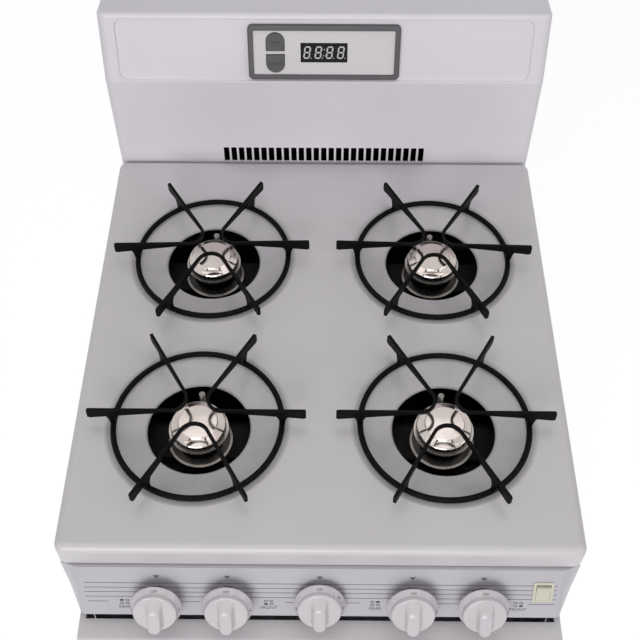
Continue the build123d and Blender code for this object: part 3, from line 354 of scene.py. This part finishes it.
coat(plate("warm_nickel", (0.50, 0.44, 0.41), (0.58, 0.52, 0.49), 0.10), "burner_caps")
coat(plate("chrome_plate", (0.70, 0.68, 0.66), (0.80, 0.79, 0.78), 0.06), "oven_racks", "broiler_grid")


# Valve bodies and stems: forged bodies screwed into the manifold, with a turned stem in each
# that carries a knob. Both are bare brass, with fine marks from the tool. Their colour is kept far
# darker than bright brass, a painted shade where the brass shows through the knob holes.
def brass_with_painted_shade():
    finish = Finish("brass_with_painted_shade")
    mark = finish.noise(700.0, 2.0)
    return finish.surface(
        Base_Color=finish.blend(mark, (0.17, 0.12, 0.05), (0.30, 0.22, 0.10)),
        Metallic=1.0,
        Roughness=0.25 + 0.2 * mark,
        Normal=finish.bump(mark, 0.00002, 0.5),
    )


coat(brass_with_painted_shade(), "valve_bodies",
     *[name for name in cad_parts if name.startswith("valve_stem")])


# Spark electrodes, spark module and cord gland: glazed ceramic rods beside each burner, and
# black mouldings for the module and the gland.
def glazed_ceramic():
    finish = Finish("glazed_ceramic")
    cloud = finish.noise(90.0, 3.0)
    return finish.surface(
        Base_Color=finish.blend(cloud, (0.34, 0.31, 0.28), (0.46, 0.43, 0.39)),
        Roughness=0.25 + 0.2 * cloud,
        Normal=finish.bump(cloud, 0.00005, 0.4),
    )


def moulding(name, dark, light, roughness, grain=500.0, depth=0.00003, gloss=0.5):
    """A moulded plastic: a fine grain in its skin and a slight drift of colour."""
    finish = Finish(name)
    skin = finish.noise(grain, 2.0)
    return finish.surface(
        Base_Color=finish.blend(finish.spread(finish.noise(25.0, 2.0), 0.3, 0.7), dark, light),
        Roughness=roughness + 0.10 * skin,
        Specular_IOR_Level=gloss,
        Normal=finish.bump(skin, depth, 0.5),
    )


coat(glazed_ceramic(), "spark_electrodes")
coat(moulding("black_moulding", (0.010, 0.010, 0.011), (0.020, 0.020, 0.021), 0.45, depth=0.0001),
     "spark_module", "cord_gland")


# Oven lamp and door panes: a clear glass dome in a holder through the oven's back wall, and two
# tempered panes, tinted dark, one behind the door's front sheet and one on its inner sheet.
def tinted_glass(name, tint, share):
    finish = Finish(name)
    smear = finish.noise(18.0, 4.0)
    smeared = tuple(1.15 * part for part in tint)
    return finish.surface(
        Base_Color=finish.blend(smear, tint, smeared),
        Roughness=0.03 + 0.05 * smear,
        Transmission_Weight=share,
        IOR=1.5,
    )


coat(tinted_glass("lamp_glass", (0.80, 0.79, 0.74), 0.7), "oven_lamp")
coat(tinted_glass("window_glass", (0.035, 0.037, 0.040), 0.5), "door_glass")


# Grates: bent steel bar and wire, welded, with a thin satin black coat that shows the bar's
# own roughness and a grey rub where pans slide.
def grate_black():
    finish = Finish("grate_black")
    rub = finish.spread(finish.noise(140.0, 4.0), 0.55, 0.8)
    return finish.surface(
        Base_Color=finish.blend(rub, (0.0028, 0.0025, 0.0028), (0.009, 0.0082, 0.0086)),
        Roughness=0.36 + 0.20 * finish.noise(220.0, 3.0),
        Specular_IOR_Level=0.07,
        Normal=finish.bump(finish.noise(480.0, 2.0), 0.00012, 0.5),
    )


coat(grate_black(), "grate_front_left", "grate_front_right", "grate_rear_left", "grate_rear_right")


# Door handle, knobs, light rocker and its frame: smooth mouldings, white for the handle and the
# knobs, ivory for the rocker and frame. The handle is a bar turned back to the door at both
# ends, and the frame sits in the control panel.
white_moulding = moulding("white_moulding", (0.595, 0.556, 0.583), (0.627, 0.588, 0.612), 0.08,
                          grain=900.0, depth=0.00001)
coat(white_moulding, "door_handle", *[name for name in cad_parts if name.startswith("knob_")])
coat(moulding("ivory_moulding", (0.62, 0.60, 0.49), (0.67, 0.65, 0.54), 0.28),
     "light_rocker", "switch_housing")

# Control panel print: grey stripes, a pointer over each knob and a burner icon with a word
# beside each burner's knob, screen printed on the enamel.
print_depth, print_lift = 0.00008, 0.00002
letter_to_size = 1.42
panel_top = Vector((0, -0.257, 0.8833))
panel_run, panel_fall = 0.0250, 0.0553
panel_tilt = atan2(panel_run, panel_fall)
panel_out = Vector((0, -cos(panel_tilt), sin(panel_tilt)))
panel_up = Vector((0, sin(panel_tilt), cos(panel_tilt)))


def placed(origin, up, out):
    """Matrix of a flat place: its x runs to the right, its y along up, its z along out."""
    across = up.cross(out)
    place = Matrix((across, up, out)).transposed().to_4x4()
    place.translation = origin
    return place


def on_panel(x, along, out=print_lift):
    """A place over the control panel: along runs down from its top edge, out stands off it."""
    foot = panel_top + Vector((x, 0, 0)) - panel_up * along
    return placed(foot + panel_out * out, panel_up, panel_out)


def ink(name, colour):
    finish = Finish(name)
    wear = finish.noise(900.0, 2.0)
    worn = tuple(1.25 * part for part in colour)
    return finish.surface(
        Base_Color=finish.blend(wear, colour, worn),
        Roughness=0.45 + 0.1 * wear,
    )


def settle(piece, place):
    """Move a shape to its place, with the place in its mesh."""
    piece.data.transform(place @ piece.matrix_basis)
    piece.matrix_basis = Matrix.Identity(4)
    return piece


def thicken(piece):
    """Give a flat shape the thickness of a print."""
    bpy.context.view_layer.objects.active = piece
    wall = piece.modifiers.new("thickness", "SOLIDIFY")
    wall.thickness = print_depth
    wall.offset = 1.0
    bpy.ops.object.modifier_apply(modifier=wall.name)
    return piece


def bar(width, height, place, corner=0.3):
    """A flat bar with cut corners."""
    bpy.ops.object.select_all(action="DESELECT")
    bpy.ops.mesh.primitive_plane_add(size=1)
    piece = bpy.context.object
    piece.scale = (width, height, 1)
    bpy.ops.object.transform_apply(location=False, rotation=False, scale=True)
    bpy.ops.object.mode_set(mode="EDIT")
    bpy.ops.mesh.select_all(action="SELECT")
    bpy.ops.mesh.bevel(offset=corner * min(width, height), affect="VERTICES", clamp_overlap=True)
    bpy.ops.object.mode_set(mode="OBJECT")
    return settle(thicken(piece), place)


def disc(half_width, half_height, place, corners=20, rim=0.0):
    """A flat disc, or a ring of the given rim."""
    bpy.ops.object.select_all(action="DESELECT")
    bpy.ops.mesh.primitive_circle_add(vertices=corners, radius=1, fill_type="NGON")
    piece = bpy.context.object
    piece.scale = (half_width, half_height, 1)
    bpy.ops.object.transform_apply(location=False, rotation=False, scale=True)
    if rim:
        bpy.ops.object.mode_set(mode="EDIT")
        bpy.ops.mesh.select_all(action="SELECT")
        bpy.ops.mesh.inset(thickness=rim)
        bpy.ops.mesh.delete(type="FACE")
        bpy.ops.object.mode_set(mode="OBJECT")
    return settle(thicken(piece), place)


def words(text, height, place):
    """Plain printed letters, centred on their place."""
    bpy.ops.object.select_all(action="DESELECT")
    bpy.ops.object.text_add()
    piece = bpy.context.object
    piece.data.body = text
    piece.data.size = height * letter_to_size
    piece.data.align_x = "CENTER"
    piece.data.align_y = "CENTER"
    piece.data.resolution_u = 3
    piece.data.extrude = print_depth / 2
    bpy.ops.object.convert(target="MESH")
    return settle(bpy.context.object, place @ Matrix.Translation((0, 0, print_depth / 2)))


def joined(name, pieces, finish, body):
    """Join printed shapes into one piece that rides on a body."""
    bpy.ops.object.select_all(action="DESELECT")
    for piece in pieces:
        piece.select_set(True)
    bpy.context.view_layer.objects.active = pieces[0]
    if len(pieces) > 1:
        bpy.ops.object.join()
    piece = bpy.context.view_layer.objects.active
    piece.name = name
    piece.data.materials.clear()
    piece.data.materials.append(finish)
    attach(piece, body)
    return piece


stripe_h = 0.0008
stripe_along = [0.0195, 0.0254, 0.0310, 0.0371]
stripe_ends = (-0.2305, 0.2315)
short_along = 0.0433
short_stripes = [(-0.228, -0.2075), (-0.140, -0.110), (-0.034, 0.0395), (0.113, 0.139), (0.205, 0.2305)]
stripes = [(start, end, short_along) for start, end in short_stripes]
stripes += [(*stripe_ends, along) for along in stripe_along]
joined("panel_stripes",
       [bar(end - start, stripe_h, on_panel((start + end) / 2, along))
        for start, end, along in stripes],
       ink("stripe_ink", (0.16, 0.155, 0.165)), "cabinet")

knob_places = {"rear_left": -0.159, "front_left": -0.090, "oven": 0.0, "rear_right": 0.090,
               "front_right": 0.159}
pointer_along, pointer_r, pointer_squeeze = 0.0108, 0.0038, 0.7
tip_down = Matrix.Rotation(pi, 4, "Z")
dark_ink = ink("dark_ink", (0.055, 0.053, 0.058))
joined("panel_pointers",
       [disc(pointer_r, pointer_squeeze * pointer_r, on_panel(x, pointer_along) @ tip_down, corners=3)
        for x in knob_places.values()],
       ink("pointer_ink", (0.12, 0.115, 0.12)), "cabinet")

dot_w, dot_h, dot_rim = 0.0021, 0.0014, 0.0006
dot_pitch_x, dot_pitch_y = 0.0054, 0.0039
word_drop, word_h = 0.0068, 0.0036
icons = {"rear_left": (-0.1922, "REAR"), "front_left": (-0.0502, "FRONT"),
         "rear_right": (0.0544, "REAR"), "front_right": (0.1950, "FRONT")}
icon_along = 0.0437
marks = []
for burner, (x, word) in icons.items():
    for level, down in (("rear", -0.5), ("front", 0.5)):
        for side, right in (("left", -0.5), ("right", 0.5)):
            place = on_panel(x + right * dot_pitch_x, icon_along + down * dot_pitch_y)
            lit = burner == f"{level}_{side}"
            marks.append(disc(dot_w, dot_h, place, rim=0.0 if lit else dot_rim))
    marks.append(words(word, word_h, on_panel(x, icon_along + word_drop)))
joined("panel_icons", marks, dark_ink, "cabinet")

# Knobs: each is one white moulding pushed onto its valve's stem, with a thin sloping skirt, a
# flat crown, and a tall grip bar that flares into the crown and slopes down at its upper end.
# A hub at the back holds the stem.
knob_along = 0.038
burner_knob_out, oven_knob_out = 0.012, 0.0075
skirt_edge, skirt_top = (0.0250, 0.0016), (0.0215, 0.0065)
stem_bore_r, stem_bore_depth = 0.0036, 0.015
knob_rings = [(0.0070, 0.0005), (0.0070, 0.0045), (0.0212, 0.0045), (0.0236, 0.0), (0.0248, 0.0),
              (0.0250, 0.0003), skirt_edge, skirt_top, (0.0213, 0.0100), (0.0210, 0.0109),
              (0.0204, 0.0114), (0.0196, 0.0116), (0.0140, 0.0121), (0.0070, 0.0124), (0.0010, 0.0125)]
grip_rings = [(0.0196, 0.0402, 0.0106, 0.0), (0.0176, 0.0394, 0.0120, 0.0),
              (0.0158, 0.0372, 0.0130, -0.0008), (0.0144, 0.0345, 0.0146, -0.0018),
              (0.0132, 0.0315, 0.0166, -0.0030), (0.0124, 0.0285, 0.0184, -0.0044),
              (0.0114, 0.0262, 0.0193, -0.0052), (0.0096, 0.0240, 0.0198, -0.0055)]
knob_corners, grip_corners, bore_corners = 96, 48, 32
knob_crease = radians(32)


def lofted(outline, levels):
    """Raise an outline through levels of width, length, height and middle, then close both ends."""
    bpy.context.view_layer.objects.active = outline
    bpy.ops.object.mode_set(mode="EDIT")
    bpy.ops.mesh.select_all(action="SELECT")
    for below, (width, length, height, middle) in zip(levels, levels[1:]):
        step = (0, middle - below[3], height - below[2])
        bpy.ops.mesh.extrude_region_move(TRANSFORM_OT_translate={"value": step})
        bpy.ops.transform.resize(value=(width / below[0], length / below[1], 1),
                                 center_override=(0, middle, height))
    bpy.ops.mesh.edge_face_add()
    bpy.ops.mesh.select_all(action="DESELECT")
    bpy.ops.mesh.select_non_manifold()
    bpy.ops.mesh.edge_face_add()
    bpy.ops.mesh.select_all(action="SELECT")
    bpy.ops.mesh.normals_make_consistent(inside=False)
    bpy.ops.object.mode_set(mode="OBJECT")
    return outline


def stretched(outline, reach):
    """Pull the two halves of an outline apart along Y."""
    bpy.context.view_layer.objects.active = outline
    for side in (1, -1):
        bpy.ops.object.mode_set(mode="EDIT")
        bpy.ops.mesh.select_all(action="DESELECT")
        bpy.ops.object.mode_set(mode="OBJECT")
        for vertex in outline.data.vertices:
            vertex.select = (vertex.co.y > 0) == (side > 0)
        bpy.ops.object.mode_set(mode="EDIT")
        bpy.ops.transform.translate(value=(0, side * reach, 0))
        bpy.ops.object.mode_set(mode="OBJECT")
    return outline


def combined(piece, tool, operation):
    """Join a tool's shape to a piece, or cut it out of the piece."""
    bpy.context.view_layer.objects.active = piece
    change = piece.modifiers.new("change", "BOOLEAN")
    change.operation, change.solver, change.object = operation, "EXACT", tool
    bpy.ops.object.modifier_apply(modifier=change.name)
    bpy.data.objects.remove(tool)


def moulded_knob():
    """One knob with its back on the XY plane and its grip along Y."""
    bpy.ops.object.select_all(action="DESELECT")
    radius, height = knob_rings[0]
    bpy.ops.mesh.primitive_circle_add(vertices=knob_corners, radius=radius, location=(0, 0, height))
    bpy.ops.object.transform_apply()
    knob = lofted(bpy.context.object, [(radius, radius, height, 0.0) for radius, height in knob_rings])
    bpy.ops.object.select_all(action="DESELECT")
    width, length, height, _ = grip_rings[0]
    bpy.ops.mesh.primitive_circle_add(vertices=grip_corners, radius=width / 2, location=(0, 0, height))
    bpy.ops.object.transform_apply()
    grip = lofted(stretched(bpy.context.object, (length - width) / 2), grip_rings)
    combined(knob, grip, "UNION")
    bpy.ops.object.select_all(action="DESELECT")
    bpy.ops.mesh.primitive_cylinder_add(vertices=bore_corners, radius=stem_bore_r,
                                        depth=2 * stem_bore_depth)
    combined(knob, bpy.context.object, "DIFFERENCE")
    bpy.ops.object.select_all(action="DESELECT")
    knob.select_set(True)
    bpy.ops.object.shade_smooth_by_angle(angle=knob_crease)
    return knob


first_knob = moulded_knob()
for name, x in knob_places.items():
    knob = first_knob.copy()
    knob.data = first_knob.data.copy()
    bpy.context.collection.objects.link(knob)
    settle(knob, on_panel(x, knob_along, oven_knob_out if name == "oven" else burner_knob_out))
    knob.name = f"moulded_knob_{name}"
    knob.data.materials.append(white_moulding)
    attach(knob, f"knob_{name}")
    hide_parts(f"knob_{name}")
bpy.data.objects.remove(first_knob)

# Knob legends: OFF at the top of each skirt, heat marks round it, and plain numbers on the
# oven's knob, pad printed on the sloping skirt of the moulding.
legend_rise, legend_lift = 0.66, 0.00003
skirt_r = skirt_edge[0] + legend_rise * (skirt_top[0] - skirt_edge[0])
skirt_h = skirt_edge[1] + legend_rise * (skirt_top[1] - skirt_edge[1])
skirt_slope = atan2(skirt_top[1] - skirt_edge[1], skirt_edge[0] - skirt_top[0])


def on_skirt(x, turn):
    """A place on a knob's sloping skirt, turn counted clockwise from its top."""
    radial = panel_up * cos(turn) + Vector((1, 0, 0)) * sin(turn)
    foot = panel_top + Vector((x, 0, 0)) - panel_up * knob_along
    skirt_out = skirt_h + (burner_knob_out if x else oven_knob_out)
    up = radial * -cos(skirt_slope) + panel_out * sin(skirt_slope)
    out = radial * sin(skirt_slope) + panel_out * cos(skirt_slope)
    return placed(foot + radial * skirt_r + panel_out * skirt_out + out * legend_lift, -up, out)


off_h, heat_word_h, number_h, tick_w, tick_h = 0.0024, 0.0020, 0.0018, 0.0005, 0.0022
high_turn, low_turn, heat_tick_turns = 90, 210, range(112, 212, 20)
oven_numbers = ["200", "250", "300", "350", "400", "450", "500"]
number_start, number_step, number_to_tick = 55, 35, -17.5
for name, x in knob_places.items():
    legend = [words("OFF", off_h, on_skirt(x, 0.0))]
    if name == "oven":
        for step, number in enumerate(oven_numbers):
            turn = number_start + number_step * step
            legend.append(words(number, number_h, on_skirt(x, radians(turn))))
            legend.append(bar(tick_w, tick_h, on_skirt(x, radians(turn + number_to_tick))))
    else:
        legend.append(words("HI", heat_word_h, on_skirt(x, radians(high_turn))))
        legend.append(words("LO", heat_word_h, on_skirt(x, radians(low_turn))))
        legend += [bar(tick_w, tick_h, on_skirt(x, radians(turn))) for turn in heat_tick_turns]
    joined(f"knob_legend_{name}", legend, dark_ink, f"knob_{name}")

# Clock: a moulded grey bezel round a white face, set into the backguard, with a glossy black
# display window, its grey segments, and two rubbery grey buttons that set the time.
coat(moulding("grey_moulding", (0.077, 0.072, 0.078), (0.090, 0.084, 0.091), 0.35), "clock_case")
coat(moulding("clock_white", (0.66, 0.63, 0.655), (0.68, 0.65, 0.672), 0.30,
              grain=1500.0, depth=0.00001), "clock_fascia")
coat(moulding("dark_button", (0.075, 0.073, 0.075), (0.090, 0.088, 0.090), 0.55, depth=0.0001),
     "clock_button_upper", "clock_button_lower")
coat(moulding("display_black", (0.0035, 0.0035, 0.004), (0.006, 0.006, 0.0065), 0.10, gloss=0.2),
     "clock_display")
guard_foot = Vector((0, 0.272, 1.036))
guard_run, guard_rise = 0.0207, 0.0790
guard_lean = atan2(guard_run, guard_rise)
guard_out = Vector((0, -cos(guard_lean), sin(guard_lean)))
guard_up = Vector((0, sin(guard_lean), cos(guard_lean)))
clock_along = 0.0376


def on_clock(x, up, out):
    """A place in front of the backguard, counted from the clock's middle."""
    return placed(guard_foot + Vector((x, 0, 0)) + guard_up * (clock_along + up) + guard_out * out,
                  guard_up, guard_out)


display_out, digit_count = 0.00105, 4
digit_pitch, digit_w, digit_h, stroke = 0.0127, 0.0076, 0.0148, 0.0016
segment_gap, segment_point = 1.1 * stroke, 0.49
point_r, point_right, point_rise, colon_r = 0.0006, 0.0016, 0.0006, 0.0007
lean = 0.13
slant = Matrix(((1, lean, 0, 0), (0, 1, 0, 0), (0, 0, 1, 0), (0, 0, 0, 1)))
segments = []
for digit in range(digit_count):
    middle = on_clock((digit - (digit_count - 1) / 2) * digit_pitch, 0.0, display_out) @ slant
    for level in (-1, 0, 1):
        shift = Matrix.Translation((0, level * (digit_h - stroke) / 2, 0))
        segments.append(bar(digit_w - segment_gap, stroke, middle @ shift, segment_point))
    for level in (-1, 1):
        for side in (-1, 1):
            shift = Matrix.Translation((side * (digit_w - stroke) / 2,
                                        level * (digit_h - stroke) / 4, 0))
            segments.append(bar(stroke, digit_h / 2 - segment_gap, middle @ shift, segment_point))
    shift = Matrix.Translation((digit_w / 2 + point_right, -digit_h / 2 + point_rise, 0))
    segments.append(disc(point_r, point_r, middle @ shift))
for level in (-1, 1):
    shift = Matrix.Translation((0, level * digit_h / 4, 0))
    segments.append(disc(colon_r, colon_r, on_clock(0, 0, display_out) @ slant @ shift))
joined("clock_digits", segments, ink("segment_grey", (0.52, 0.50, 0.50)), "cabinet")

button_x, button_rise, button_out, button_word_h = -0.055, 0.0128, 0.00343, 0.0029
button_ink = ink("button_ink", (0.008, 0.008, 0.009))
for name, word, rise in (("upper", "HOUR", button_rise), ("lower", "MINUTE", -button_rise)):
    joined(f"button_word_{name}", [words(word, button_word_h, on_clock(button_x, rise, button_out))],
           button_ink, f"clock_button_{name}")


# Studio: a pale floor that runs out of the picture, a white surround and large soft lamps
# above and in front. Floor and surround look white but give the object only a plain light.
def looked_at(shading):
    """1 where the camera, a mirror or a pane looks at the surround, 0 where it gives light."""
    camera, mirror, pane = [shading.node("LightPath", output=f"Is {ray} Ray")
                            for ray in ("Camera", "Glossy", "Transmission")]
    return shading.node("Math", {"operation": "MINIMUM"}, {0: camera + mirror + pane, 1: 1.0})


def floor_white(grey, glow):
    finish = Finish("floor_white")
    return finish.surface(
        Base_Color=(grey, grey, grey, 1),
        Roughness=0.8,
        Emission_Color=finish.blend(looked_at(finish), (0, 0, 0), (glow, glow, glow)),
        Emission_Strength=1.0,
    )


floor_size, floor_y, floor_drop = 14, 2.0, 0.0005
bpy.ops.object.select_all(action="DESELECT")
bpy.ops.mesh.primitive_plane_add(size=floor_size, location=(0, floor_y, -floor_drop))
floor = bpy.context.object
floor.name = "studio_floor"
floor.data.materials.append(floor_white(grey=0.42, glow=0.74))

scene = bpy.context.scene
scene.world = bpy.data.worlds.new("studio")
scene.world.use_nodes = True
surround = Shading(scene.world.node_tree)
ambient = surround.tree.nodes["Background"]
surround.feed(ambient, {"Color": (0.98, 0.985, 1.0, 1), "Strength": 0.40})
backdrop = surround.node("Background", inputs={"Color": (1, 1, 1, 1), "Strength": 1.0})
either = surround.node("MixShader", inputs={
    0: looked_at(surround), 1: Value(surround, ambient.outputs[0]), 2: backdrop})
surround.feed(surround.tree.nodes["World Output"], {"Surface": either})


def soft_lamp(name, place, aim, size, power):
    bpy.ops.object.light_add(type="AREA", location=place)
    lamp = bpy.context.object
    lamp.name = name
    lamp.data.shape = "RECTANGLE"
    lamp.data.size, lamp.data.size_y = size
    lamp.data.energy = power
    lamp.rotation_euler = (Vector(aim) - Vector(place)).to_track_quat("-Z", "Y").to_euler()


soft_lamp("lamp_front", place=(-0.7, -3.4, 1.9), aim=(0, 0, 0.95), size=(2.6, 1.6), power=62)
soft_lamp("lamp_right", place=(2.4, -1.2, 2.2), aim=(0, 0, 0.8), size=(1.6, 1.6), power=8)
soft_lamp("lamp_top", place=(0, 0.2, 3.4), aim=(0, 0, 0.9), size=(2.6, 2.6), power=12)

# Camera: above and in front of the cooktop, at the photograph's viewing angle, with a plain lens
# and no shift. Its place was solved on the range's width and the cooktop's height.
camera_place = (0.0053, -0.6808, 1.8349)
camera_pitch, camera_yaw, camera_roll = radians(52.677), radians(-0.627), radians(-0.131)
camera_sensor, camera_lens = 36.0, 59.15
bpy.ops.object.camera_add(location=camera_place)
camera = bpy.context.object
turn = Euler((pi / 2 - camera_pitch, 0, -camera_yaw)).to_matrix() @ Matrix.Rotation(camera_roll, 3, "Z")
camera.rotation_euler = turn.to_euler()
camera.data.sensor_width = camera_sensor
camera.data.lens = camera_lens
scene.camera = camera
scene.view_settings.view_transform = "Standard"
